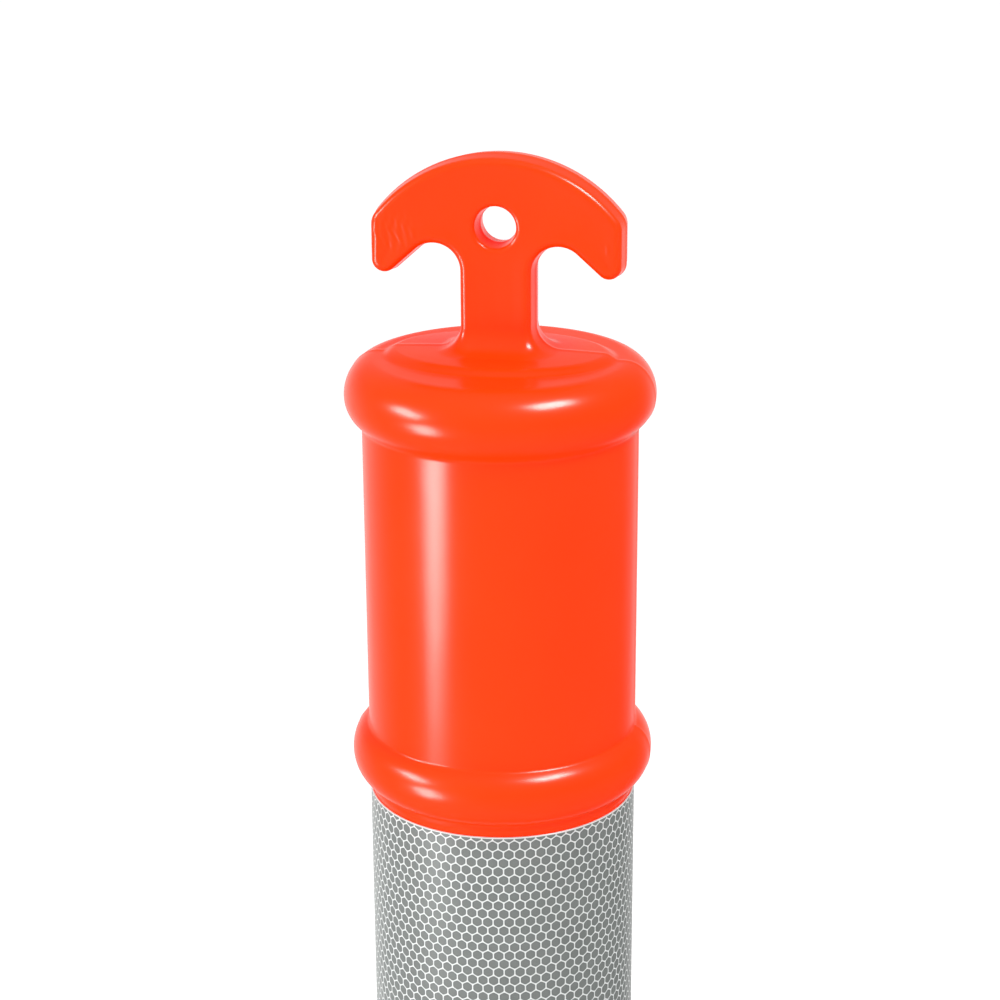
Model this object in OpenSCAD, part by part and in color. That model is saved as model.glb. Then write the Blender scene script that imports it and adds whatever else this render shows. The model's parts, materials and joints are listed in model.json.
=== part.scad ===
// Portable T-top delineator post: a hollow blow-moulded post, a reflective collar and a drop-over rubber base.
// Millimetres. +Z is up, the origin is on the ground at the middle of the base, and the grip lies along X.

/* [Post] */
// Height of the post, from the ground to the top of the grip
post_h = 1120; // [1000:10:1200]
// Outside radius of the plain body between the beads
body_r = 49.2; // [48:0.1:51]
// Wall of the blow-moulded shell
wall = 3; // [2.5:0.1:3.2]
// Outside radius of the three beads
bead_r = 55; // [54:0.5:57]

/* [Grip] */
// Half the width of the grip, from its middle to a tip
grip_half_w = 44.2; // [42:0.1:45]
// Thickness of the grip, front to back
grip_t = 18; // [14:0.5:20]
// Half the width of the neck under the grip
neck_half_w = 13; // [11.5:0.1:14]
// Radius of the hole that a chain, rope or hook goes through
hole_r = 6.6; // [5:0.1:7]

/* [Collar] */
// Height of the reflective collar, a ten inch band
collar_h = 254; // [150:1:300]
// Thickness of the reflective sheeting
collar_t = 0.4; // [0.3:0.05:0.6]
// Angle over which the two ends of the sheeting overlap
overlap_angle = 14; // [8:1:30]

/* [Foot] */
// Outside radius of the foot flange, which the base sits on
flange_r = 80; // [75:1:85]
// Thickness of the foot flange
flange_h = 8; // [6:1:10]
// Outside radius of the sleeve that passes through the base
sleeve_r = 57.4; // [57.2:0.1:57.6]

/* [Rubber base] */
// Size of the octagonal base across its flats
base_af = 406; // [380:2:420]
// Height of the base at its middle
base_h = 55; // [50:1:60]
// Height of the base's upright rim
rim_h = 32; // [28:1:36]
// Length of each hand hold
hand_hold_l = 104; // [90:2:110]
// Width of each hand hold
hand_hold_w = 32; // [28:1:34]

/* [Hidden] */
$fn = 96;
eps = 0.01;
orange = [1, 0.27, 0.08];
silver = [0.62, 0.65, 0.66];
black = [0.08, 0.08, 0.08];

// Heights down the post, each from the collar's top edge, which is the head's datum.
head_h = 234;
collar_top = post_h - head_h;
collar_bottom = collar_top - collar_h;
bead_gap = 15;
low_bead_z = collar_top + bead_gap;
high_bead_z = collar_top + 149.5;
foot_bead_z = collar_bottom - bead_gap;
slim_bead_tube = 10;
fat_bead_tube = 12.6;
plateau_half_x = 38.6;
plateau_half_y = 30.4;
plateau_flank_r = 45;
plateau_top_z = collar_top + 166.5;
plateau_rise = 5;
seat_r = body_r + 0.2 - collar_t;
sleeve_top = base_h + 10;

// The grip's outline is arcs and tangents. Heights here are above the collar's top edge.
crown_r = 55;
crown_z = head_h - crown_r;
shoulder_r = 7;
tip_r = 5;
tip_z = 197;
arch_r = 8.9;
arch_z = 193.8;
neck_flare_r = 9;
hole_z = collar_top + 209.4;
hole_wall = 3.2;

// The foot's keys stop the post turning in its base.
key_count = 4;
key_l = 16;
key_w = 12;
key_h = 5;
key_radius = 68;
key_play = 0.6;
hole_play = 0.6;
base_hole_r = sleeve_r + hole_play;
flange_play = 1.5;
seat_play = 0.4;
top_flat_af = 262;
collar_ring_r = 76;
collar_ring_h = 5;
drain_w = 12;
drain_d = 3;
hand_hold_x = 158;

function arc(cx, cy, r, from, to, steps) =
    [for (i = [0:steps]) let (a = from + (to - from) * i / steps) [cx + r * cos(a), cy + r * sin(a)]];

// Right half of the grip's outline from the top middle down to the plateau, drawn in by an inset.
function grip_half(inset) =
    let (
        side = grip_half_w,
        shoulder_x = side - shoulder_r,
        shoulder_z = crown_z + sqrt(pow(crown_r - shoulder_r, 2) - pow(shoulder_x, 2)),
        crown_end = atan2(shoulder_z - crown_z, shoulder_x),
        tip_x = side - tip_r,
        arch_x = neck_half_w + arch_r,
        reach = sqrt(pow(tip_x - arch_x, 2) + pow(tip_z - arch_z, 2)),
        slope = atan2(tip_z - arch_z, tip_x - arch_x) - asin((tip_r + arch_r) / reach),
        flare_z = plateau_top_z - collar_top + neck_flare_r
    )
    concat(
        arc(0, crown_z, crown_r - inset, 90, crown_end, 14),
        arc(shoulder_x, shoulder_z, shoulder_r - inset, crown_end, 0, 5),
        arc(tip_x, tip_z, tip_r - inset, 0, slope - 90, 9),
        arc(arch_x, arch_z, arch_r + inset, slope + 90, 180, 11),
        arc(neck_half_w + neck_flare_r, flare_z, neck_flare_r + inset, 180, 262, 8)
    );

function mirrored(points) = [for (i = [len(points) - 1:-1:0]) [-points[i][0], points[i][1]]];

// The grip as a flat slab. Reach is how far its foot goes below the plateau's top.
module grip_slab(inset, thickness, reach) {
    half = grip_half(inset);
    foot = [half[len(half) - 1][0], plateau_top_z - collar_top - reach];
    translate([0, 0, collar_top])
        rotate([90, 0, 0])
            linear_extrude(thickness, center = true)
                polygon(concat(half, [foot], [[-foot[0], foot[1]]], mirrored(half)));
}

module grip_inside() grip_slab(wall, grip_t - 2 * wall, 14);

module chain_hole(length, radius) {
    translate([0, 0, hole_z])
        rotate([90, 0, 0])
            cylinder(h = length, r = radius, center = true);
}

// Half section of the moulding. An inset of the wall's thickness gives the inside.
module body_section(inset) {
    polygon([
        [0, 0],
        [sleeve_r - inset, 0],
        [sleeve_r - inset, sleeve_top],
        [body_r - inset, foot_bead_z],
        [seat_r - inset, collar_bottom],
        [seat_r - inset, collar_top],
        [body_r - inset, low_bead_z],
        [body_r - inset, high_bead_z],
        [bead_r - fat_bead_tube, high_bead_z + fat_bead_tube - inset],
        [0, high_bead_z + fat_bead_tube - inset]
    ]);
    for (z = [foot_bead_z, low_bead_z])
        translate([bead_r - slim_bead_tube, z]) circle(slim_bead_tube - inset);
    translate([bead_r - fat_bead_tube, high_bead_z]) circle(fat_bead_tube - inset);
}

// The oval step that the grip stands on, sunk into the top bead. Three round bars crossed make the oval.
module plateau(inset) {
    rise = plateau_rise + fat_bead_tube;
    translate([0, 0, plateau_top_z - rise - inset])
        intersection() {
            cylinder(h = rise, r = plateau_half_x - inset);
            translate([0, plateau_half_y - plateau_flank_r, 0]) cylinder(h = rise, r = plateau_flank_r - inset);
            translate([0, plateau_flank_r - plateau_half_y, 0]) cylinder(h = rise, r = plateau_flank_r - inset);
        }
}

module foot_keys(play) {
    for (i = [0:key_count - 1])
        rotate(45 + i * 360 / key_count)
            translate([key_radius, 0, flange_h - 1 + (key_h + 1 + play) / 2])
                cube([key_l + 2 * play, key_w + 2 * play, key_h + 1 + play], center = true);
}

// The grip and the body are one moulding. They are two nodes that meet flat at the plateau's top.
module t_grip() {
    color(orange)
        difference() {
            union() {
                difference() {
                    grip_slab(0, grip_t, 0);
                    grip_inside();
                }
                chain_hole(grip_t - 1, hole_r + hole_wall);
            }
            chain_hole(grip_t + 4, hole_r);
        }
}

module post_body() {
    color(orange)
        difference() {
            union() {
                rotate_extrude() body_section(0);
                plateau(0);
                cylinder(h = flange_h, r = flange_r);
                foot_keys(0);
            }
            rotate_extrude() body_section(wall);
            plateau(wall);
            translate([0, 0, -1]) cylinder(h = 2, r = sleeve_r - wall);
            grip_inside();
        }
}

module reflective_collar() {
    outer = seat_r + collar_t;
    lap_w = 2 * outer * sin(overlap_angle / 2);
    color(silver)
        translate([0, 0, collar_bottom])
            difference() {
                linear_extrude(collar_h) {
                    circle(outer);
                    intersection() {
                        circle(outer + collar_t);
                        translate([0, outer]) square([lap_w, outer], center = true);
                    }
                }
                translate([0, 0, -1]) cylinder(h = collar_h + 2, r = seat_r);
            }
}

// An octagonal block with sloping facets is the common part of four crossed bars.
module octagon_block() {
    half = base_af / 2;
    top = top_flat_af / 2;
    intersection_for(i = [0:3])
        rotate([0, 0, 45 * i])
            rotate([90, 0, 0])
                linear_extrude(2 * base_af, center = true)
                    polygon([[-half, 0], [half, 0], [half, rim_h], [top, base_h], [-top, base_h], [-half, rim_h]]);
}

module hand_hold() {
    run = hand_hold_l - hand_hold_w;
    translate([hand_hold_x, 0, -1]) {
        for (side = [-1, 1])
            translate([0, side * run / 2, 0]) cylinder(h = base_h + 2, d = hand_hold_w);
        translate([-hand_hold_w / 2, -run / 2, 0]) cube([hand_hold_w, run, base_h + 2]);
    }
}

module rubber_base() {
    color(black)
        difference() {
            union() {
                octagon_block();
                cylinder(h = base_h + collar_ring_h, r = collar_ring_r);
            }
            translate([0, 0, -1]) cylinder(h = base_h + collar_ring_h + 2, r = base_hole_r);
            translate([0, 0, -1]) cylinder(h = flange_h + seat_play + 1, r = flange_r + flange_play);
            foot_keys(key_play);
            for (i = [0:3])
                rotate(22.5 + 45 * i)
                    translate([0, 0, drain_d / 2 - eps])
                        cube([2 * base_af, drain_w, drain_d], center = true);
            for (i = [0:1]) rotate(180 * i) hand_hold();
        }
}

t_grip();
post_body();
reflective_collar();
rubber_base();
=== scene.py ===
"""Looks for a portable T-top delineator post: a moulded post, its reflective collar and a drop-over rubber base."""

import json
import math

import bmesh
import bpy
import numpy as np
from mathutils import Matrix, Quaternion, Vector, noise


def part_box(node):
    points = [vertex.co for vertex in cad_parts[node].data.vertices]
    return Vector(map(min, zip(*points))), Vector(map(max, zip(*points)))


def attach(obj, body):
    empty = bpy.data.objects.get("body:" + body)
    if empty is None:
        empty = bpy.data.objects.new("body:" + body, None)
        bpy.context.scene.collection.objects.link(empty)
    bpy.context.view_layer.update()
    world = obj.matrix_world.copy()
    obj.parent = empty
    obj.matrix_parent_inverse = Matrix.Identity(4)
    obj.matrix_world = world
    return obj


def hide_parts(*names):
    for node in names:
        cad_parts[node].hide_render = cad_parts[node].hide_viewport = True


bl_info = {
    "name": "Delineator Post",
    "version": (1, 0, 0),
    "blender": (4, 5, 0),
    "location": "3D View > Sidebar > Post",
    "description": "Moulds a T-top delineator post, wraps its reflective collar and presses its rubber base",
    "category": "Object",
}

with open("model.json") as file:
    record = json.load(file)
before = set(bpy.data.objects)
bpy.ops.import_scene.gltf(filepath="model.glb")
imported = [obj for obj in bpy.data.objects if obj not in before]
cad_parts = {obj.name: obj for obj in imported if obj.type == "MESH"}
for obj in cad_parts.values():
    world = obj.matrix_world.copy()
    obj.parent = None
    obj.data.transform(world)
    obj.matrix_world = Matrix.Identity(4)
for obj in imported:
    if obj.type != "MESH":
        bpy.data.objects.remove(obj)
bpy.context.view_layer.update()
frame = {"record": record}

MM = 0.001
TURN = 2 * math.pi


def span(node):
    """Lowest and highest corners of a CAD node, in millimetres."""
    low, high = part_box(node)
    return [c / MM for c in low], [c / MM for c in high]


def mount(name):
    """The place of one of the record's mounts, in millimetres."""
    found = next(m for m in frame["record"]["mounts"] if m["name"] == name)
    return [c / MM for c in found["pos_m"]], found["dims"]


GRIP_LOW, GRIP_HIGH = span("t_grip")
COLLAR_LOW, COLLAR_HIGH = span("reflective_collar")
BODY_HIGH = span("post_body")[1]
BASE_HIGH = span("rubber_base")[1]
HOLE_AT, HOLE_DIMS = mount("chain_hole")
# The collar's top edge is the head's datum: the head's heights are all measured up from it.
DATUM = COLLAR_HIGH[2]
# The middles of the slim beads, above the datum. Both stand the same distance off the collar.
BEAD_GAP = 15.0
LOW_BEAD = BEAD_GAP
FOOT_BEAD = COLLAR_LOW[2] - DATUM - BEAD_GAP
# A slim bead's section is half an ellipse: half its height, and how deep it is.
SLIM_BEAD_HALF, SLIM_BEAD_DEPTH = 10.4, 7.8
BEAD_FILLET = 2.2
# How far the collar's seat is sunk below the plain body.
SEAT_DEPTH = 0.5
# The foot's keys and the slots they drop into. Radius is from the post's axis to a key's middle.
KEY_TURNS = [math.radians(45 + 90 * i) for i in range(4)]
KEY_RADIUS, KEY_LENGTH, KEY_WIDTH, KEY_HEIGHT = 68.0, 16.0, 12.0, 5.0
KEY_PLAY = 0.6


# ---------------------------------------------------------------- sizes and colours a user would change


class PostSizes(bpy.types.PropertyGroup):
    """Sizes of the moulded post, in millimetres."""

    body_radius: bpy.props.FloatProperty(
        name="Body radius", description="Outside radius of the plain body between the beads", default=49.0
    )
    sleeve_radius: bpy.props.FloatProperty(
        name="Sleeve radius", description="Outside radius of the foot where it passes through the base", default=57.4
    )
    flange_height: bpy.props.FloatProperty(
        name="Flange height", description="Height of the foot flange under the base", default=8.0
    )
    bead_radius: bpy.props.FloatProperty(
        name="Bead radius", description="Outside radius of the beads", default=55.0
    )
    wall: bpy.props.FloatProperty(name="Wall", description="Thickness of the moulded wall", default=3.0)
    grip_thickness: bpy.props.FloatProperty(
        name="Grip thickness", description="Grip from front to back", default=GRIP_HIGH[1] - GRIP_LOW[1]
    )
    grip_edge: bpy.props.FloatProperty(
        name="Grip edge radius", description="Rounding where the grip's faces meet its edge", default=2.0
    )
    foot_fillet: bpy.props.FloatProperty(
        name="Neck fillet", description="Fillet where the neck grows out of the plateau", default=9.0
    )
    parting_ridge: bpy.props.FloatProperty(
        name="Parting ridge", description="Height of the ridge left where the two mould halves meet", default=0.16
    )
    cell: bpy.props.FloatProperty(
        name="Head mesh size", description="Size of the mesh's faces on the head", default=0.6
    )


class CollarSizes(bpy.types.PropertyGroup):
    """Sizes of the reflective sheeting, in millimetres."""

    thickness: bpy.props.FloatProperty(name="Thickness", description="Thickness of the sheeting", default=0.4)
    seating: bpy.props.FloatProperty(
        name="Seating", description="How far the sheeting is drawn inside the CAD collar's radius", default=0.45
    )
    cells_round: bpy.props.IntProperty(
        name="Cells round the post", description="Honeycomb cells in one turn of the collar", default=80
    )
    cell_wall: bpy.props.FloatProperty(
        name="Cell wall", description="Width of the white seal between two cells", default=0.46
    )
    overlap_degrees: bpy.props.FloatProperty(
        name="Overlap", description="Angle over which the sheeting's two ends lap, in degrees", default=14.0
    )


class BaseSizes(bpy.types.PropertyGroup):
    """Sizes of the pressed rubber base, in millimetres."""

    rim_height: bpy.props.FloatProperty(name="Rim height", description="Height of the upright rim", default=32.0)
    block_height: bpy.props.FloatProperty(
        name="Block height", description="Height of the block where its top turns flat", default=55.0
    )
    top_width: bpy.props.FloatProperty(
        name="Top width", description="Flat top across its flats", default=262.0
    )
    hole_radius: bpy.props.FloatProperty(
        name="Hole radius", description="Radius of the hole that drops over the post", default=58.0
    )
    cell: bpy.props.FloatProperty(name="Mesh size", description="Size of the mesh's faces", default=2.0)


class Finish(bpy.types.PropertyGroup):
    """Colours as sRGB hex."""

    orange: bpy.props.StringProperty(name="Post", description="Colour of the moulded post", default="FF3303")
    orange_thin: bpy.props.StringProperty(
        name="Post, thinner", description="The post's colour where the moulded wall runs thinner", default="FF3804"
    )
    cell_grey: bpy.props.StringProperty(
        name="Cell", description="Colour of the sheeting's glass-bead cells", default="767A78"
    )
    cell_dark: bpy.props.StringProperty(
        name="Cell, darker", description="Colour of the cells where the beads lie thinner", default="626664"
    )
    # Painted shade: a darker colour laid inside each cell beside its seal, in the crease where shade falls.
    cell_rim_shade: bpy.props.StringProperty(
        name="Cell rim", description="Shade inside each cell beside its seal", default="4A4D4C"
    )
    seal_white: bpy.props.StringProperty(
        name="Seal", description="Colour of the seals between the cells", default="CBCECD"
    )
    rubber: bpy.props.StringProperty(name="Rubber", description="Colour of the crumb rubber", default="1E1E1D")
    rubber_worn: bpy.props.StringProperty(
        name="Rubber, paler", description="Colour of the palest black grains", default="2E2E2C"
    )
    rubber_fleck: bpy.props.StringProperty(
        name="Fleck", description="Colour of the few grey-brown grains", default="5C5751"
    )
    # Painted shade: a darker colour laid in the sunk gaps between the grains.
    rubber_gap_shade: bpy.props.StringProperty(
        name="Gap", description="Colour of the gaps between the grains", default="0D0D0D"
    )


class StageSettings(bpy.types.PropertyGroup):
    """Where the camera stands. Its height is above the collar's top edge."""

    camera_distance: bpy.props.FloatProperty(
        name="Distance", description="Camera to the post's axis, in millimetres", default=769.7
    )
    camera_height: bpy.props.FloatProperty(
        name="Height", description="Camera above the collar's top edge, in millimetres", default=365.1
    )
    camera_turn: bpy.props.FloatProperty(
        name="Turn", description="Camera's turn round the post from square on", default=math.radians(11.1),
        subtype="ANGLE",
    )
    camera_dip: bpy.props.FloatProperty(
        name="Dip", description="How far the camera looks down", default=0.321, subtype="ANGLE"
    )
    camera_roll: bpy.props.FloatProperty(
        name="Roll", description="Tilt of the picture", default=-0.0062, subtype="ANGLE"
    )
    lens: bpy.props.FloatProperty(name="Lens", description="Focal length in millimetres", default=81.67)
    shift: bpy.props.FloatProperty(name="Shift", description="Sideways shift of the lens", default=-0.0009)


# ---------------------------------------------------------------- solids as distance fields, in millimetres


def round_union(a, b, radius):
    """Two fields joined, with a fillet of that radius where they meet."""
    return np.maximum(radius, np.minimum(a, b)) - np.hypot(
        np.maximum(radius - a, 0), np.maximum(radius - b, 0)
    )


def round_common(a, b, radius):
    """What two fields share, with the edge between them rounded."""
    return np.minimum(-radius, np.maximum(a, b)) + np.hypot(
        np.maximum(radius + a, 0), np.maximum(radius + b, 0)
    )


def ramp(low, high, x):
    """0 up to low, 1 from high, smooth between."""
    t = np.clip((x - low) / (high - low), 0, 1)
    return t * t * (3 - 2 * t)


def surface_net(axes, field):
    """Vertices and quads where a field sampled on a grid crosses zero."""
    inside = field < 0
    n = np.array(field.shape)
    count = np.zeros(n - 1, np.int8)
    for i, j, k in np.ndindex(2, 2, 2):
        count += inside[i : n[0] - 1 + i, j : n[1] - 1 + j, k : n[2] - 1 + k]
    active = (count > 0) & (count < 8)
    cell = np.argwhere(active)
    index = np.full(active.shape, -1, np.int32)
    index[active] = np.arange(len(cell))
    total, hits = np.zeros((len(cell), 3)), np.zeros(len(cell))
    quads = []
    for a in range(3):
        b, c = (a + 1) % 3, (a + 2) % 3
        step = np.eye(3, dtype=int)
        for p, q in np.ndindex(2, 2):
            start = cell + p * step[b] + q * step[c]
            f0, f1 = field[tuple(start.T)], field[tuple((start + step[a]).T)]
            cross = (f0 < 0) != (f1 < 0)
            at = start[cross] + (f0[cross] / (f0[cross] - f1[cross]))[:, None] * step[a]
            total[cross] += at
            hits[cross] += 1
        near, far = inside.take(range(n[a] - 1), a), inside.take(range(1, n[a]), a)
        edge = np.argwhere(near != far)
        edge = edge[
            (edge[:, b] > 0) & (edge[:, c] > 0) & (edge[:, b] < n[b] - 1) & (edge[:, c] < n[c] - 1)
        ]
        corners = [edge - step[b] - step[c], edge - step[c], edge, edge - step[b]]
        quad = np.stack([index[tuple(k.T)] for k in corners], 1)
        leaving = near[tuple(edge.T)]
        quads.append(np.where(leaving[:, None], quad, quad[:, ::-1]))
    place = total / hits[:, None]
    verts = np.stack([np.interp(place[:, a], np.arange(n[a]), axes[a]) for a in range(3)], 1)
    return verts, np.concatenate(quads)


def settle(verts, field, reach):
    """Moves vertices onto the field's true surface, no further than reach."""
    tiny = 0.04
    for _ in range(3):
        x, y, z = verts.T
        value = field(x, y, z)
        slope = np.stack(
            [
                field(x + tiny, y, z) - field(x - tiny, y, z),
                field(x, y + tiny, z) - field(x, y - tiny, z),
                field(x, y, z + tiny) - field(x, y, z - tiny),
            ],
            1,
        ) / (2 * tiny)
        move = -value[:, None] * slope / np.maximum((slope**2).sum(1), 1e-6)[:, None]
        far = np.linalg.norm(move, axis=1)
        verts = verts + move * np.minimum(1, reach / np.maximum(far, 1e-9))[:, None]
    return verts


def grid_of(low, high, cell):
    """Evenly spaced planes from low to high, one of them halfway between two cells at zero."""
    first, last = math.floor(low / cell), math.ceil(high / cell)
    return (np.arange(first, last + 1) + 0.5) * cell


def sample(field, axes):
    """A field on every point of a grid."""
    x, y, z = (a.astype(np.float32) for a in axes)
    made = field(x[:, None, None], y[None, :, None], z[None, None, :])
    return np.broadcast_to(made, (len(x), len(y), len(z)))


# ---------------------------------------------------------------- the grip and the head


class Head:
    """The grip, the plateau and the top bead as one field. Heights are above the datum unless a name says at."""

    crown_radius = 55.0
    shoulder_radius = 7.0
    tip_radius = 5.0
    tip_z = 197.0
    arch_radius = 8.9
    arch_z = 193.8
    neck_half_width = 13.0
    bead_z = 149.5
    bead_depth = 11.2
    bead_rise = 13.1
    bead_drop = 12.2
    plateau_half_x = 38.6
    plateau_half_y = 27.8
    plateau_z = 164.8
    plateau_dome = 1.0
    plateau_edge = 1.6
    plateau_draft = 1.1
    plateau_fillet = 0.9
    draft = 0.09
    lip = 1.3
    ridge_width = 1.1

    def __init__(self, sizes):
        self.sizes = sizes
        self.half_width = GRIP_HIGH[0]
        self.top = GRIP_HIGH[2] - DATUM - sizes.parting_ridge
        self.hole_radius = HOLE_DIMS["r_mm"]
        self.hole_z = HOLE_AT[2] - DATUM
        self.crown_z = self.top - self.crown_radius
        self.shoulder_x = self.half_width - self.shoulder_radius
        self.shoulder_z = self.crown_z + math.sqrt(
            (self.crown_radius - self.shoulder_radius) ** 2 - self.shoulder_x**2
        )
        self.tip_x = self.half_width - self.tip_radius
        self.arch_x = self.neck_half_width + self.arch_radius
        run, drop = self.tip_x - self.arch_x, self.tip_z - self.arch_z
        lean = math.asin((self.tip_radius + self.arch_radius) / math.hypot(run, drop))
        self.slope = math.atan2(drop, run) - lean

    def outline(self, x, z):
        """Distance to the grip's outline, arcs joined by tangents, below zero inside."""
        x = np.abs(x)
        crown_end = math.atan2(self.shoulder_z - self.crown_z, self.shoulder_x)
        arcs = [
            (0, self.crown_z, self.crown_radius, crown_end, math.pi / 2, 1),
            (self.shoulder_x, self.shoulder_z, self.shoulder_radius, 0, crown_end, 1),
            (self.tip_x, self.tip_z, self.tip_radius, self.slope - math.pi / 2, 0, 1),
            (self.arch_x, self.arch_z, self.arch_radius, self.slope + math.pi / 2, math.pi, -1),
        ]
        lines = [
            ((self.half_width, self.tip_z), (self.half_width, self.shoulder_z)),
            (self.on_arc(arcs[3], self.slope + math.pi / 2), self.on_arc(arcs[2], self.slope - math.pi / 2)),
            ((self.neck_half_width, self.plateau_z - 20), (self.neck_half_width, self.arch_z)),
        ]
        best = np.full(np.broadcast(x, z).shape, 1e6, np.result_type(x, np.float32))
        for cx, cz, radius, start, end, side in arcs:
            dx, dz = x - cx, z - cz
            middle, half = (start + end) / 2, (end - start) / 2
            turn = np.arctan2(dz * math.cos(middle) - dx * math.sin(middle),
                              dx * math.cos(middle) + dz * math.sin(middle))
            value = side * (np.hypot(dx, dz) - radius)
            value = np.where(np.abs(turn) <= half + 1e-4, value, 1e6)
            best = np.where(np.abs(value) < np.abs(best), value, best)
        for (x0, z0), (x1, z1) in lines:
            length = math.hypot(x1 - x0, z1 - z0)
            ux, uz = (x1 - x0) / length, (z1 - z0) / length
            along = (x - x0) * ux + (z - z0) * uz
            value = (x - x0) * uz - (z - z0) * ux
            off = np.maximum(np.maximum(-along, along - length), 0)
            value = np.where(off > 0, 1e6, value)
            best = np.where(np.abs(value) < np.abs(best), value, best)
        return best

    @staticmethod
    def on_arc(arc, angle):
        return arc[0] + arc[2] * math.cos(angle), arc[1] + arc[2] * math.sin(angle)

    def bead(self, r, z):
        """The upper half of the top bead, closed over by a flat top."""
        outer = self.sizes.bead_radius
        dr, dz = np.maximum(r - (outer - self.bead_depth), 0) / self.bead_depth, (z - self.bead_z) / self.bead_rise
        size = np.hypot(dr, dz)
        steep = np.hypot(dr / self.bead_depth, dz / self.bead_rise)
        return size * (size - 1) / np.maximum(steep, 1e-6)

    def field(self, x, y, z):
        """Distance to the whole head's surface. z here is from the ground."""
        z = z - DATUM
        s = self.sizes
        wide, deep = x / self.plateau_half_x, y / self.plateau_half_y
        size = np.hypot(wide, deep)
        steep = np.hypot(wide / self.plateau_half_x, deep / self.plateau_half_y)
        flank = size * (size - 1) / np.maximum(steep, 1e-6)
        flank = flank + self.plateau_draft * np.maximum(z - self.plateau_z, -3.5)
        dome = self.plateau_dome * (1 - size**2)
        plateau = round_common(flank, z - self.plateau_z - dome, self.plateau_edge)
        body = round_union(self.bead(np.hypot(x, y), z), plateau, self.plateau_fillet)
        # Both mould halves have draft, so the grip is widest and its hole narrowest where they meet.
        relief = self.draft * np.abs(y)
        edge = self.outline(x, z) + relief
        # The faces sink a little inside a rim, as a thick moulded section does when it cools.
        sink = 0.28 * ramp(-1.5, -7.0, edge) + 0.12 * ramp(-6.0, -14.0, edge)
        side = np.abs(y) - s.grip_thickness / 2 + sink
        for mark_x, mark_z in ((-28.5, 206.0), (39.0, 203.0)):
            mark = np.exp(-(((x - mark_x) / 0.35) ** 2) - ((z - mark_z) / 1.7) ** 4)
            side = side - 0.18 * mark * (y < 0)
        # Ripples at the left tip, where the plastic went cold before the mould had filled.
        cold = ramp(-25.0, -34.0, x) * ramp(198.0, 203.0, z) * ramp(217.0, 209.0, z) * (y < 0)
        side = side + 0.07 * cold * np.sin(2.3 * x + 1.6 * np.sin(0.55 * z) + 0.8 * np.sin(1.3 * z + x))
        grip = round_common(edge, side, s.grip_edge)
        hole = self.hole_radius + relief - np.hypot(x, z - self.hole_z)
        grip = round_common(grip, hole, self.lip)
        whole = round_union(body, grip, s.foot_fillet)
        ridge = s.parting_ridge * np.exp(-((y / self.ridge_width) ** 2))
        return whole - ridge


def half_ellipse(up, centre, half_height, depth, outer):
    """Radius of a bead whose section is half an ellipse. It is zero beyond the bead's ends."""
    t = 1 - ((up - centre) / half_height) ** 2
    return np.where(t > 0, outer - depth + depth * np.sqrt(np.maximum(t, 0)), 0)


def soft_max(a, b, radius):
    """The larger of two radii, with a fillet where they cross."""
    return np.maximum(a, b) + np.maximum(radius - np.abs(a - b), 0) ** 2 / (4 * radius)


def body_radius(z, sizes):
    """Outside radius of the body at heights z from the ground, up to the middle of the top bead."""
    up = z - DATUM
    sleeve_top = BASE_HIGH[2] + 5 - DATUM
    radius = np.interp(up, [sleeve_top, FOOT_BEAD], [sizes.sleeve_radius, sizes.body_radius])
    # The collar lies in a shallow seat between the two slim beads.
    collar_end = COLLAR_LOW[2] - DATUM
    radius = radius - SEAT_DEPTH * ramp(2.5, 0.8, up) * ramp(collar_end - 2.5, collar_end - 0.8, up)
    outer = sizes.bead_radius
    radius = soft_max(radius, half_ellipse(up, Head.bead_z, Head.bead_drop, Head.bead_drop, outer), BEAD_FILLET)
    for centre in (LOW_BEAD, FOOT_BEAD):
        slim = half_ellipse(up, centre, SLIM_BEAD_HALF, SLIM_BEAD_DEPTH, outer)
        radius = soft_max(radius, slim, BEAD_FILLET)
    return radius


def outer_heights(seam):
    """Heights of the body's rings, close together where the profile bends."""
    foot = DATUM + FOOT_BEAD
    stops = [
        (seam - 1.0, seam - 20, 0.6), (seam - 20, DATUM + 32, 6.0), (DATUM + 32, DATUM + 1.0, 0.6),
        (DATUM + 1.0, DATUM - 4, 1.0), (DATUM - 4, COLLAR_LOW[2] + 4, 12.0), (COLLAR_LOW[2] + 4, foot - 16, 0.6),
        (foot - 16, BASE_HIGH[2] + 20, 12.0), (BASE_HIGH[2] + 20, 18, 5.0),
    ]
    heights = []
    for start, end, step in stops:
        count = max(1, round((start - end) / step))
        heights += [start + (end - start) * i / count for i in range(count)]
    return heights + [18.0]


def corner(r, z, radius, start, end, steps=5):
    """Points round a rounded corner of a turned section, angles in degrees."""
    angles = [math.radians(start + (end - start) * i / steps) for i in range(steps + 1)]
    return [(r + radius * math.cos(a), z + radius * math.sin(a)) for a in angles]


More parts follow.
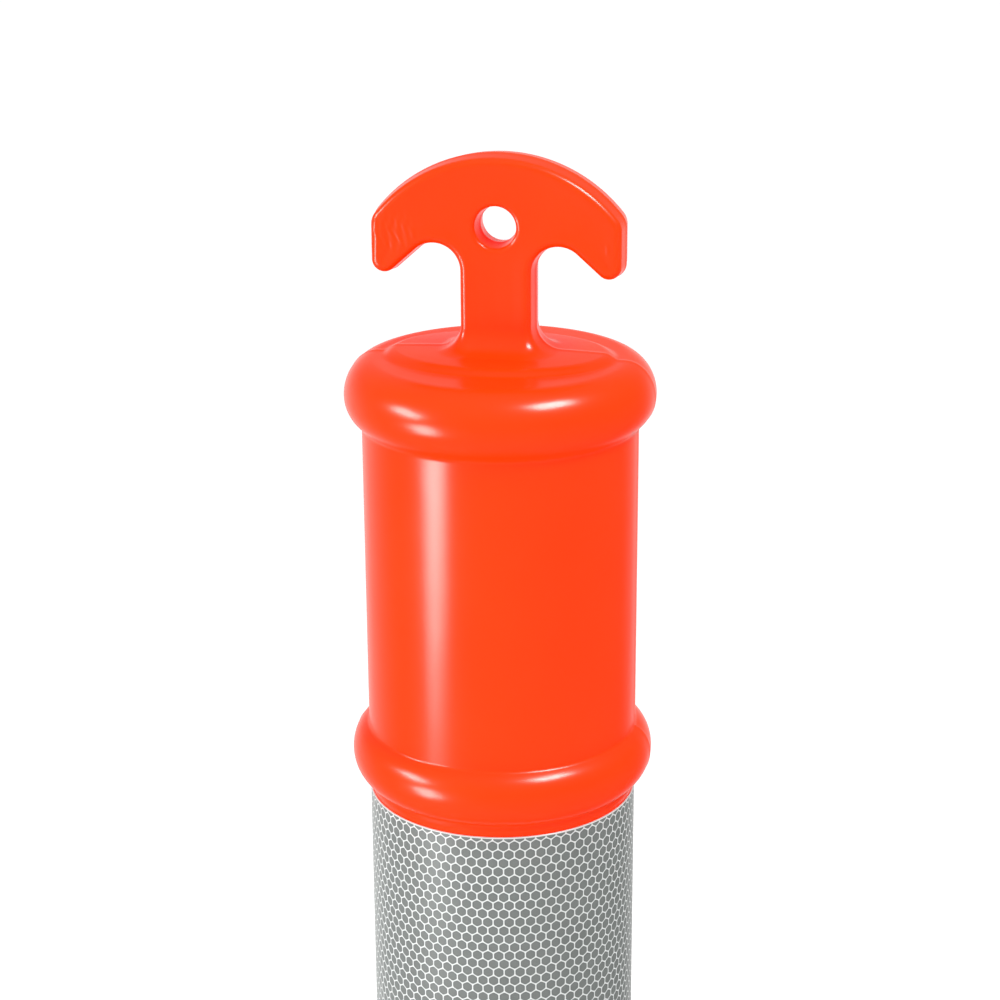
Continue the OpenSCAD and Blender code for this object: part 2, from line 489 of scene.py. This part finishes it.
def turned_section(sizes, seam):
    """The post's half section from the seam down the outside, round the foot and up the inside to the roof."""
    flange, top, sleeve = BODY_HIGH[0] - 0.05, sizes.flange_height, sizes.sleeve_radius
    soft, round_foot, round_rim = 2.0, 1.2, 1.8
    points = [(float(body_radius(z, sizes)), z) for z in outer_heights(seam)]
    points += corner(sleeve + soft, top + soft, soft, 180, 270)
    points += [(r, top) for r in np.arange(sleeve + 3.2, flange - 2.4, 1.2)]
    points += corner(flange - round_rim, top - round_rim, round_rim, 90, 0)
    points += corner(flange - round_foot, round_foot, round_foot, 0, -90, 4)
    points += corner(sleeve - sizes.wall + round_foot, round_foot, round_foot, -90, -180, 4)
    heights = [z for z in reversed(outer_heights(seam)[::3]) if 20 < z < seam - 4]
    points += [(float(body_radius(z, sizes)) - sizes.wall, z) for z in [12.0, *heights]]
    roof = DATUM + Head.plateau_z - sizes.wall
    inner = Head.bead_drop - sizes.wall
    points += corner(sizes.bead_radius - Head.bead_drop, seam, inner, 0, 90, 8)
    points += [(36.0, seam + inner), (26.0, seam + inner + 0.6), (24.0, roof), (12.0, roof)]
    return points


def key_height(x, y):
    """How far the foot's keys stand above its flange."""
    rise, soft = 0, 1.6
    for turn in KEY_TURNS:
        along = x * math.cos(turn) + y * math.sin(turn) - KEY_RADIUS
        across = -x * math.sin(turn) + y * math.cos(turn)
        rise = rise + KEY_HEIGHT * ramp(KEY_LENGTH / 2, KEY_LENGTH / 2 - soft, np.abs(along)) * ramp(
            KEY_WIDTH / 2, KEY_WIDTH / 2 - soft, np.abs(across)
        )
    return rise


def mould_post(sizes):
    """One closed mesh for the whole moulding: the head from its field, and the body turned below it."""
    head = Head(sizes)
    seam = DATUM + Head.bead_z
    cell = sizes.cell
    reach = sizes.bead_radius + 2
    axes = [grid_of(-reach, reach, cell), grid_of(-reach, reach, cell), grid_of(seam - 2.5, GRIP_HIGH[2] + 1.5, cell)]
    verts, quads = surface_net(axes, sample(head.field, axes))
    verts = settle(verts, head.field, cell)
    bm = mesh_of(verts, quads)
    cut = bmesh.ops.bisect_plane(
        bm, geom=bm.verts[:] + bm.edges[:] + bm.faces[:], plane_co=(0, 0, seam), plane_no=(0, 0, 1),
        clear_inner=True,
    )
    loop = [v for v in cut["geom_cut"] if isinstance(v, bmesh.types.BMVert)]
    turns = ring_turns(sizes)
    rings = []
    for r, z in turned_section(sizes, seam):
        x, y = r * np.cos(turns), r * np.sin(turns)
        outside = 10 < z < seam and r > float(body_radius(z, sizes)) - sizes.wall / 2
        grow = r + (sizes.parting_ridge * np.exp(-((y / Head.ridge_width) ** 2)) if outside else 0)
        lift = key_height(x, y) if z == sizes.flange_height else 0
        ring = np.broadcast_arrays(grow * np.cos(turns), grow * np.sin(turns), z + lift)
        rings.append([bm.verts.new(point) for point in zip(*ring)])
    zip_rings(bm, loop, rings[0])
    for upper, lower in zip(rings, rings[1:]):
        for i in range(len(turns)):
            j = (i + 1) % len(turns)
            bm.faces.new((upper[i], lower[i], lower[j], upper[j]))
    bm.faces.new(list(reversed(rings[-1])))
    return finished(bm, "post_moulding")


def ring_turns(sizes):
    """Angles of a ring's points: even, with more beside the two parting lines."""
    even = np.arange(240) * TURN / 240
    beside = [k * 0.45 / sizes.body_radius for k in (-3, -2, -1, 1, 2, 3)]
    keep = [a for a in even if all(abs(math.remainder(a - b, TURN)) > 0.031 or a == b for b in (0, math.pi))]
    return np.array(sorted(keep + [(b + k) % TURN for b in (0, math.pi) for k in beside] + [0.0, math.pi]))


def zip_rings(bm, upper, lower):
    """Joins two rings of different counts with triangles, going round by angle."""

    def by_angle(ring):
        return sorted(ring, key=lambda v: math.atan2(v.co.y, v.co.x) % TURN)

    a, b = by_angle(upper), by_angle(lower)
    angle_a = [math.atan2(v.co.y, v.co.x) % TURN for v in a] + [TURN + math.atan2(a[0].co.y, a[0].co.x) % TURN]
    angle_b = [math.atan2(v.co.y, v.co.x) % TURN for v in b] + [TURN + math.atan2(b[0].co.y, b[0].co.x) % TURN]
    i = j = 0
    while i < len(a) or j < len(b):
        if j >= len(b) or (i < len(a) and angle_a[i + 1] <= angle_b[j + 1]):
            bm.faces.new((a[i % len(a)], b[j % len(b)], a[(i + 1) % len(a)]))
            i += 1
        else:
            bm.faces.new((a[i % len(a)], b[j % len(b)], b[(j + 1) % len(b)]))
            j += 1


def mesh_of(verts, faces):
    """A bmesh from arrays."""
    bm = bmesh.new()
    made = [bm.verts.new(v) for v in verts]
    for face in faces:
        bm.faces.new([made[i] for i in face])
    return bm


def finished(bm, name):
    """A smooth-shaded object, in metres, from a bmesh in millimetres."""
    bmesh.ops.recalc_face_normals(bm, faces=bm.faces[:])
    bmesh.ops.scale(bm, vec=(MM, MM, MM), verts=bm.verts[:])
    mesh = bpy.data.meshes.new(name)
    bm.to_mesh(mesh)
    bm.free()
    mesh.shade_smooth()
    piece = bpy.data.objects.new(name, mesh)
    bpy.context.scene.collection.objects.link(piece)
    return piece


# ---------------------------------------------------------------- the collar


def wrap_collar(sizes):
    """One strip of sheeting wound once round the post, its outer end lapped over its inner one at the back."""
    inner = COLLAR_HIGH[0] - sizes.seating - sizes.thickness
    half_lap = math.radians(sizes.overlap_degrees) / 2
    start, end = math.pi / 2 - half_lap, math.pi / 2 + TURN + half_lap
    count = 320
    bm = bmesh.new()
    columns = []
    for i in range(count + 1):
        turn = start + (end - start) * i / count
        climb = float(ramp(TURN + start - 0.05, TURN + start + 0.01, turn)) * (sizes.thickness + 0.02)
        low, high = inner + climb, inner + climb + sizes.thickness - 0.02
        soft = 0.12
        section = [
            (low, COLLAR_LOW[2]), (high - soft, COLLAR_LOW[2]), (high, COLLAR_LOW[2] + soft),
            (high, (COLLAR_LOW[2] + DATUM) / 2), (high, DATUM - soft), (high - soft, DATUM), (low, DATUM),
        ]
        columns.append([bm.verts.new((r * math.cos(turn), r * math.sin(turn), z)) for r, z in section])
    rows = len(columns[0])
    for one, two in zip(columns, columns[1:]):
        for k in range(rows):
            bm.faces.new((one[k], two[k], two[(k + 1) % rows], one[(k + 1) % rows]))
    bm.faces.new(columns[0])
    bm.faces.new(list(reversed(columns[-1])))
    piece = finished(bm, "reflective_sheeting")
    piece.data.set_sharp_from_angle(angle=math.radians(35))
    return piece


# ---------------------------------------------------------------- the base


class Block:
    """The rubber base as one field."""

    edge = 4.0
    hip = 1.5
    ring_radius = 76.0
    recess_radius = 81.5
    recess_depth = 8.4
    slot_top = 13.6
    drain_width = 12.0
    drain_depth = 3.0
    hold_x = 158.0
    hold_length = 104.0
    hold_width = 32.0

    def __init__(self, sizes):
        self.sizes = sizes
        self.half = BASE_HIGH[0]
        self.top = BASE_HIGH[2]

    def field(self, x, y, z):
        s = self.sizes
        reach = -1e3
        for i in range(4):
            turn = math.radians(45 * i)
            across = np.abs(x * math.cos(turn) + y * math.sin(turn)) - self.half
            reach = across if i == 0 else round_common(reach, across, self.hip)
        run, rise = self.half - s.top_width / 2, s.block_height - s.rim_height
        steep = math.hypot(run, rise)
        slope = (reach * rise + (z - s.rim_height) * run) / steep
        block = round_common(reach, slope, self.edge)
        block = round_common(block, z - s.block_height, self.edge * 2)
        r = np.hypot(x, y)
        ring = round_common(r - self.ring_radius, z - self.top, 2.2)
        groove = np.hypot(r - self.ring_radius - 9, z - s.block_height - 1.2) - 3.2
        block = round_union(block, ring, 2.5)
        block = round_common(block, -groove, 0.8)
        block = round_common(block, -z, 1.2)
        block = round_common(block, s.hole_radius - r, 2.0)
        recess = np.maximum(r - self.recess_radius, z - self.recess_depth)
        block = np.maximum(block, -recess)
        keys = 1e3
        for turn in KEY_TURNS:
            along = np.abs(x * math.cos(turn) + y * math.sin(turn) - KEY_RADIUS) - KEY_LENGTH / 2 - KEY_PLAY
            over = np.abs(-x * math.sin(turn) + y * math.cos(turn)) - KEY_WIDTH / 2 - KEY_PLAY
            keys = np.minimum(keys, np.maximum(np.maximum(along, over), z - self.slot_top))
        block = np.maximum(block, -keys)
        for i in range(4):
            turn = math.radians(22.5 + 45 * i)
            over = np.abs(-x * math.sin(turn) + y * math.cos(turn)) - self.drain_width / 2
            drain = round_common(over, z - self.drain_depth, 1.0)
            block = round_common(block, -drain, 0.8)
        run = (self.hold_length - self.hold_width) / 2
        slot = np.hypot(np.abs(x) - self.hold_x, np.maximum(np.abs(y) - run, 0)) - self.hold_width / 2
        return round_common(block, -slot, 3.5)


def press_base(sizes):
    """The base from its field, with the slight unevenness that pressed crumb has."""
    block = Block(sizes)
    cell = sizes.cell
    reach = block.half + 2.5
    axes = [grid_of(-reach, reach, cell), grid_of(-reach, reach, cell), grid_of(-2.5, block.top + 2.5, cell)]
    verts, quads = surface_net(axes, sample(block.field, axes))
    verts = settle(verts, block.field, cell)
    bumps = np.array([noise.noise(Vector(v) / 4.0) + 0.6 * noise.noise(Vector(v) / 9.0) for v in verts])
    inward = 1 - 0.0012 * np.clip(bumps + 0.6, 0, None)
    verts = verts * np.stack([inward, inward, np.ones(len(verts))], 1)
    free = (verts[:, 2] > 14) & (np.hypot(verts[:, 0], verts[:, 1]) > sizes.hole_radius + 3)
    verts[:, 2] -= np.where(free, 0.22 * np.clip(bumps + 0.6, 0, None), 0)
    return finished(mesh_of(verts, quads), "base_block")


# ---------------------------------------------------------------- materials


def linear(code):
    """An sRGB hex colour as linear RGBA."""
    parts = [int(code[i : i + 2], 16) / 255 for i in (0, 2, 4)]
    return [p / 12.92 if p <= 0.04045 else ((p + 0.055) / 1.055) ** 2.4 for p in parts] + [1.0]


def add(tree, kind, inputs=None, **settings):
    """Adds a node. inputs maps a socket's name or number to a value or to the socket that feeds it."""
    made = tree.nodes.new(kind)
    for name, value in settings.items():
        setattr(made, name, value)
    for name, value in (inputs or {}).items():
        if isinstance(value, bpy.types.NodeSocket):
            tree.links.new(value, made.inputs[name])
        else:
            made.inputs[name].default_value = value
    return made


def new_material(name):
    """A material with only a Principled shader and its output."""
    material = bpy.data.materials.new(name)
    material.use_nodes = True
    tree = material.node_tree
    tree.nodes.clear()
    shader = add(tree, "ShaderNodeBsdfPrincipled")
    add(tree, "ShaderNodeOutputMaterial", {"Surface": shader.outputs[0]})
    return material, tree, shader


def blow_moulded_polyethylene(finish):
    """Low-density polyethylene, blow moulded: waxy, half glossy, with fine peel and faint upright flow lines."""
    material, tree, shader = new_material("blow_moulded_polyethylene")
    place = add(tree, "ShaderNodeTexCoord").outputs["Object"]
    cloud = add(tree, "ShaderNodeTexNoise", {"Vector": place, "Scale": 1 / (45 * MM), "Detail": 3.0})
    tone = add(
        tree, "ShaderNodeMix",
        {0: cloud.outputs[0], 6: linear(finish.orange), 7: linear(finish.orange_thin)},
        data_type="RGBA",
    )
    stretched = add(tree, "ShaderNodeMapping", {"Vector": place, "Scale": (1, 1, 0.06)})
    flow = add(
        tree, "ShaderNodeTexNoise", {"Vector": stretched.outputs[0], "Scale": 1 / (3.5 * MM), "Detail": 2.0}
    )
    peel = add(tree, "ShaderNodeTexNoise", {"Vector": place, "Scale": 1 / (1.6 * MM), "Detail": 2.0})
    sink = add(tree, "ShaderNodeTexNoise", {"Vector": place, "Scale": 1 / (22 * MM), "Detail": 1.0})
    waves = add(
        tree, "ShaderNodeBump",
        {"Height": sink.outputs[0], "Strength": 1.0, "Distance": 0.10 * MM},
    )
    lines = add(
        tree, "ShaderNodeBump",
        {"Height": flow.outputs[0], "Strength": 1.0, "Distance": 0.012 * MM, "Normal": waves.outputs[0]},
    )
    skin = add(
        tree, "ShaderNodeBump",
        {"Height": peel.outputs[0], "Strength": 1.0, "Distance": 0.008 * MM, "Normal": lines.outputs[0]},
    )
    gloss = add(
        tree, "ShaderNodeMapRange",
        {"Value": cloud.outputs[0], "To Min": 0.20, "To Max": 0.26},
    )
    shader.inputs["IOR"].default_value = 1.51
    shader.inputs["Specular IOR Level"].default_value = 0.2
    tree.links.new(tone.outputs[2], shader.inputs["Base Color"])
    tree.links.new(gloss.outputs[0], shader.inputs["Roughness"])
    tree.links.new(skin.outputs[0], shader.inputs["Normal"])
    return material


def honeycomb_sheeting(finish, sizes):
    """Encapsulated glass-bead sheeting: grey bead cells under clear film, sealed in a white honeycomb."""
    material, tree, shader = new_material("honeycomb_sheeting")

    def maths(operation, *values):
        return add(tree, "ShaderNodeMath", dict(enumerate(values)), operation=operation).outputs[0]

    radius = COLLAR_HIGH[0]
    pitch = TURN * radius / sizes.cells_round
    place = add(tree, "ShaderNodeTexCoord").outputs["Object"]
    x, y, z = add(tree, "ShaderNodeSeparateXYZ", {0: place}).outputs
    across = maths("MULTIPLY", maths("ARCTAN2", y, x), sizes.cells_round / TURN)
    up = maths("DIVIDE", maths("SUBTRACT", z, DATUM * MM), pitch * MM)
    row = math.sqrt(3)
    hexes, rounds = [], []
    for shift in (0.0, 0.5):
        u = maths("SUBTRACT", maths("FLOORED_MODULO", maths("SUBTRACT", across, shift), 1.0), 0.5)
        v = maths("SUBTRACT", maths("FLOORED_MODULO", maths("SUBTRACT", up, shift * row), row), row / 2)
        wide, tall = maths("ABSOLUTE", u), maths("ABSOLUTE", v)
        slant = maths("ADD", maths("MULTIPLY", wide, 0.5), maths("MULTIPLY", tall, row / 2))
        hexes.append(maths("MAXIMUM", wide, slant))
        rounds.append(maths("SQRT", maths("ADD", maths("MULTIPLY", u, u), maths("MULTIPLY", v, v))))
    hexagon = maths("MINIMUM", *hexes)
    circle = maths("MULTIPLY", maths("MINIMUM", *rounds), 0.93)
    out = maths("MAXIMUM", hexagon, circle)
    wall = sizes.cell_wall / pitch / 2
    seal = add(
        tree, "ShaderNodeMapRange", {"Value": out, "From Min": 0.5 - wall - 0.02, "From Max": 0.5 - wall + 0.02},
        interpolation_type="SMOOTHSTEP",
    ).outputs[0]
    # Painted shade: this mask darkens each cell in the crease beside its raised seal, and the mix below lays the
    # painted shade colour there.
    rim_shade_mask = add(
        tree, "ShaderNodeMapRange",
        {"Value": out, "From Min": 0.5 - wall - 0.11, "From Max": 0.5 - wall - 0.02, "To Min": 0.0, "To Max": 1.0},
        interpolation_type="SMOOTHSTEP",
    ).outputs[0]
    beads = add(tree, "ShaderNodeTexNoise", {"Vector": place, "Scale": 1 / (0.5 * MM), "Detail": 3.0}).outputs[0]
    patchy = add(tree, "ShaderNodeTexNoise", {"Vector": place, "Scale": 1 / (14 * MM), "Detail": 3.0}).outputs[0]
    speck = maths("ADD", maths("MULTIPLY", beads, 0.6), maths("MULTIPLY", patchy, 0.4))
    cell = add(
        tree, "ShaderNodeMix", {0: speck, 6: linear(finish.cell_dark), 7: linear(finish.cell_grey)}, data_type="RGBA"
    ).outputs[2]
    cell_and_rim_shade = add(
        tree, "ShaderNodeMix", {0: maths("MULTIPLY", rim_shade_mask, 0.45), 6: cell, 7: linear(finish.cell_rim_shade)},
        data_type="RGBA",
    ).outputs[2]
    # The cut edges at the top and bottom show the white of the seal.
    cut_edge = 0.5
    off_middle = maths("ABSOLUTE", maths("SUBTRACT", z, (DATUM + COLLAR_LOW[2]) / 2 * MM))
    hem = maths("GREATER_THAN", off_middle, (DATUM - COLLAR_LOW[2]) / 2 * MM - cut_edge * MM)
    pale = maths("MAXIMUM", seal, hem)
    colour = add(tree, "ShaderNodeMix", {0: pale, 6: cell_and_rim_shade, 7: linear(finish.seal_white)}, data_type="RGBA")
    relief = add(
        tree, "ShaderNodeBump", {"Height": seal, "Strength": 1.0, "Distance": 0.05 * MM}
    )
    grain = add(
        tree, "ShaderNodeBump",
        {"Height": beads, "Strength": 1.0, "Distance": 0.02 * MM, "Normal": relief.outputs[0]},
    )
    tree.links.new(colour.outputs[2], shader.inputs["Base Color"])
    tree.links.new(grain.outputs[0], shader.inputs["Normal"])
    shader.inputs["Roughness"].default_value = 0.3
    shader.inputs["IOR"].default_value = 1.49
    return material


def crumb_rubber(finish):
    """Recycled tyre crumb pressed with a binder: matt black grains, a few grey or brown, with fine gaps between."""
    material, tree, shader = new_material("crumb_rubber")
    place = add(tree, "ShaderNodeTexCoord").outputs["Object"]
    grains = add(tree, "ShaderNodeTexVoronoi", {"Vector": place, "Scale": 1 / (2.6 * MM)})
    gaps = add(
        tree, "ShaderNodeTexVoronoi", {"Vector": place, "Scale": 1 / (2.6 * MM)}, feature="DISTANCE_TO_EDGE"
    )
    fine = add(tree, "ShaderNodeTexNoise", {"Vector": place, "Scale": 1 / (0.9 * MM), "Detail": 4.0})
    pick = add(tree, "ShaderNodeSeparateColor", {0: grains.outputs["Color"]})
    shade = add(
        tree, "ShaderNodeMix", {0: pick.outputs[0], 6: linear(finish.rubber), 7: linear(finish.rubber_worn)},
        data_type="RGBA",
    )
    rare = add(
        tree, "ShaderNodeMapRange", {"Value": pick.outputs[1], "From Min": 0.955, "From Max": 0.96}
    )
    fleck = add(
        tree, "ShaderNodeMix", {0: rare.outputs[0], 6: shade.outputs[2], 7: linear(finish.rubber_fleck)},
        data_type="RGBA",
    )
    # Painted shade: the gaps between the grains, which the bump below sinks, are darkened with the gap colour.
    valley = add(
        tree, "ShaderNodeMapRange", {"Value": gaps.outputs[0], "From Min": 0.0, "From Max": 0.12}
    )
    shaded_gaps = add(
        tree, "ShaderNodeMix", {0: valley.outputs[0], 6: linear(finish.rubber_gap_shade), 7: fleck.outputs[2]},
        data_type="RGBA",
    )
    lumps = add(
        tree, "ShaderNodeBump", {"Height": valley.outputs[0], "Strength": 1.0, "Distance": 0.35 * MM}
    )
    grit = add(
        tree, "ShaderNodeBump",
        {"Height": fine.outputs[0], "Strength": 1.0, "Distance": 0.25 * MM, "Normal": lumps.outputs[0]},
    )
    rough = add(
        tree, "ShaderNodeMapRange", {"Value": pick.outputs[2], "To Min": 0.55, "To Max": 0.85}
    )
    tree.links.new(shaded_gaps.outputs[2], shader.inputs["Base Color"])
    tree.links.new(rough.outputs[0], shader.inputs["Roughness"])
    tree.links.new(grit.outputs[0], shader.inputs["Normal"])
    shader.inputs["IOR"].default_value = 1.52
    return material


def studio_paper(name):
    """White seamless paper for the floor, with a faint fibre."""
    material, tree, shader = new_material(name)
    place = add(tree, "ShaderNodeTexCoord").outputs["Object"]
    fibre = add(tree, "ShaderNodeTexNoise", {"Vector": place, "Scale": 30.0, "Detail": 3.0})
    tone = add(
        tree, "ShaderNodeMix", {0: fibre.outputs[0], 6: linear("FAFAF9"), 7: linear("FDFDFC")}, data_type="RGBA"
    )
    tree.links.new(tone.outputs[2], shader.inputs["Base Color"])
    shader.inputs["Roughness"].default_value = 0.9
    return material


# ---------------------------------------------------------------- operators


def dress(piece, material, body, slot, *nodes):
    """Gives a piece its material and its body, and hides the CAD nodes it stands for. The slot is not used."""
    piece.data.materials.append(material)
    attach(piece, body)
    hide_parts(*nodes)


class POST_OT_mould_post(bpy.types.Operator):
    """Mould the grip, the beads, the body and the foot as one piece"""

    bl_idname = "post.mould_post"
    bl_label = "Mould the post"

    def execute(self, context):
        scene = context.scene
        piece = mould_post(scene.post_sizes)
        dress(piece, blow_moulded_polyethylene(scene.post_finish), "post", "post_plastic", "t_grip", "post_body")
        return {"FINISHED"}


class POST_OT_wrap_collar(bpy.types.Operator):
    """Wrap the reflective sheeting round the post"""

    bl_idname = "post.wrap_collar"
    bl_label = "Wrap the collar"

    def execute(self, context):
        scene = context.scene
        piece = wrap_collar(scene.post_collar)
        sheeting = honeycomb_sheeting(scene.post_finish, scene.post_collar)
        dress(piece, sheeting, "post", "reflective_sheeting", "reflective_collar")
        return {"FINISHED"}


class POST_OT_press_base(bpy.types.Operator):
    """Press the drop-over rubber base"""

    bl_idname = "post.press_base"
    bl_label = "Press the base"

    def execute(self, context):
        scene = context.scene
        piece = press_base(scene.post_base)
        dress(piece, crumb_rubber(scene.post_finish), "base", "base_rubber", "rubber_base")
        return {"FINISHED"}


class POST_OT_set_stage(bpy.types.Operator):
    """Set the floor, the light and the camera"""

    bl_idname = "post.set_stage"
    bl_label = "Set the stage"

    def execute(self, context):
        scene = context.scene
        lay_floor()
        light_room(scene)
        hang_lights(scene.post_stage)
        place_camera(scene, scene.post_stage)
        scene.view_settings.view_transform = "Standard"
        return {"FINISHED"}


def lay_floor():
    """A large pale floor, which the gloss doesn't mirror."""
    half = 20.0
    mesh = bpy.data.meshes.new("floor")
    mesh.from_pydata([(-half, -half, 0), (half, -half, 0), (half, half, 0), (-half, half, 0)], [], [(0, 1, 2, 3)])
    floor = bpy.data.objects.new("floor", mesh)
    bpy.context.scene.collection.objects.link(floor)
    mesh.materials.append(studio_paper("studio_paper"))
    floor.visible_glossy = False


def light_room(scene):
    """Even light from all round. Gloss sees white behind the post and little in front of it."""
    behind_post = (-0.41, 0.91, 0)
    world = bpy.data.worlds.new("studio")
    world.use_nodes = True
    scene.world = world
    tree = world.node_tree
    tree.nodes.clear()
    path = add(tree, "ShaderNodeLightPath")
    toward = add(tree, "ShaderNodeTexCoord").outputs["Generated"]
    height = add(tree, "ShaderNodeSeparateXYZ", {0: toward}).outputs[2]
    overhead = add(tree, "ShaderNodeMapRange", {"Value": height, "To Min": 0.62, "To Max": 1.4})
    depth = add(tree, "ShaderNodeVectorMath", {0: toward, 1: behind_post}, operation="DOT_PRODUCT")
    behind = add(
        tree, "ShaderNodeMapRange",
        {"Value": depth.outputs["Value"], "From Min": 0.2, "From Max": 1.0, "To Min": 0.05, "To Max": 0.95},
        interpolation_type="SMOOTHSTEP",
    )
    fill = add(tree, "ShaderNodeBackground", {"Color": (1, 1, 1, 1), "Strength": overhead.outputs[0]})
    seen = add(tree, "ShaderNodeBackground", {"Color": (1, 1, 1, 1), "Strength": 1.0})
    ceiling = add(
        tree, "ShaderNodeMapRange",
        {"Value": height, "From Min": -0.1, "From Max": 0.3, "To Min": 1.0, "To Max": 0.3},
    )
    dimmed = add(tree, "ShaderNodeMath", {0: behind.outputs[0], 1: ceiling.outputs[0]}, operation="MULTIPLY")
    gloss = add(tree, "ShaderNodeBackground", {"Color": (1, 1, 1, 1), "Strength": dimmed.outputs[0]})
    lit = add(tree, "ShaderNodeMixShader", {0: path.outputs["Is Glossy Ray"], 1: fill.outputs[0], 2: gloss.outputs[0]})
    both = add(tree, "ShaderNodeMixShader", {0: path.outputs["Is Camera Ray"], 1: lit.outputs[0], 2: seen.outputs[0]})
    add(tree, "ShaderNodeOutputWorld", {"Surface": both.outputs[0]})


def hang_lights(stage):
    """Two softboxes at the left and one high at the right. Each lights the post, and its twin makes the gloss."""
    middle = Vector((0, 0, (DATUM + 80) * MM))
    away = 1.5
    # Angles are from the camera, in degrees. Then come width and height in metres, and the two powers in watts.
    for name, turn, rise, lean, wide, tall, power, sheen in (
        ("tall_softbox", -56, -12, 18, 0.42, 0.5, 12, 24),
        ("left_softbox", -72, 18, -20, 0.6, 0.28, 5, 24),
        ("high_softbox", 52, 55, 0, 0.6, 0.36, 15, 44),
    ):
        turned, risen = stage.camera_turn + math.radians(turn), math.radians(rise)
        way = Vector((math.sin(turned) * math.cos(risen), -math.cos(turned) * math.cos(risen), math.sin(risen)))
        facing = way.to_track_quat("Z", "Y") @ Quaternion((0, 0, 1), math.radians(lean))
        for purpose, energy in (("light", power), ("gloss", sheen)):
            data = bpy.data.lights.new(f"{name}_{purpose}", "AREA")
            data.shape = "RECTANGLE"
            data.size, data.size_y, data.energy = wide, tall, energy
            light = bpy.data.objects.new(data.name, data)
            light.location = middle + way * away
            light.rotation_euler = facing.to_euler()
            light.visible_camera = False
            light.visible_diffuse = purpose == "light"
            light.visible_glossy = purpose == "gloss"
            bpy.context.scene.collection.objects.link(light)


def place_camera(scene, stage):
    """Stands the camera where the head fills the picture, looking down at it."""
    data = bpy.data.cameras.new("camera")
    data.sensor_width = 36.0
    data.lens = stage.lens
    data.shift_x = stage.shift
    camera = bpy.data.objects.new("camera", data)
    turn, dip, roll = stage.camera_turn, stage.camera_dip, stage.camera_roll
    ahead = Vector((-math.sin(turn) * math.cos(dip), math.cos(turn) * math.cos(dip), -math.sin(dip)))
    level = Vector((math.cos(turn), math.sin(turn), 0))
    over = level.cross(ahead)
    right = level * math.cos(roll) + over * math.sin(roll)
    up = over * math.cos(roll) - level * math.sin(roll)
    away = stage.camera_distance * MM
    axes = Matrix((right, up, -ahead)).transposed().to_4x4()
    height = (DATUM + stage.camera_height) * MM
    axes.translation = Vector((math.sin(turn) * away, -math.cos(turn) * away, height))
    camera.matrix_world = axes
    scene.collection.objects.link(camera)
    scene.camera = camera


class POST_PT_panel(bpy.types.Panel):
    """Lists the steps that make the post"""

    bl_label = "Delineator Post"
    bl_idname = "POST_PT_panel"
    bl_space_type = "VIEW_3D"
    bl_region_type = "UI"
    bl_category = "Post"

    def draw(self, context):
        for step in STEPS:
            self.layout.operator(step.bl_idname)
        for group in ("post_sizes", "post_collar", "post_base", "post_finish", "post_stage"):
            settings = getattr(context.scene, group)
            box = self.layout.box()
            for name in settings.bl_rna.properties.keys():
                if name not in ("rna_type", "name"):
                    box.prop(settings, name)


STEPS = (POST_OT_set_stage, POST_OT_mould_post, POST_OT_wrap_collar, POST_OT_press_base)
GROUPS = {
    "post_sizes": PostSizes,
    "post_collar": CollarSizes,
    "post_base": BaseSizes,
    "post_finish": Finish,
    "post_stage": StageSettings,
}


def register():
    for made in (*GROUPS.values(), *STEPS, POST_PT_panel):
        bpy.utils.register_class(made)
    for name, group in GROUPS.items():
        setattr(bpy.types.Scene, name, bpy.props.PointerProperty(type=group))


def unregister():
    for name in GROUPS:
        delattr(bpy.types.Scene, name)
    for made in reversed((*GROUPS.values(), *STEPS, POST_PT_panel)):
        bpy.utils.unregister_class(made)


def main():
    register()
    bpy.ops.post.set_stage()
    bpy.ops.post.mould_post()
    bpy.ops.post.wrap_collar()
    bpy.ops.post.press_base()


if __name__ == "__main__":
    main()
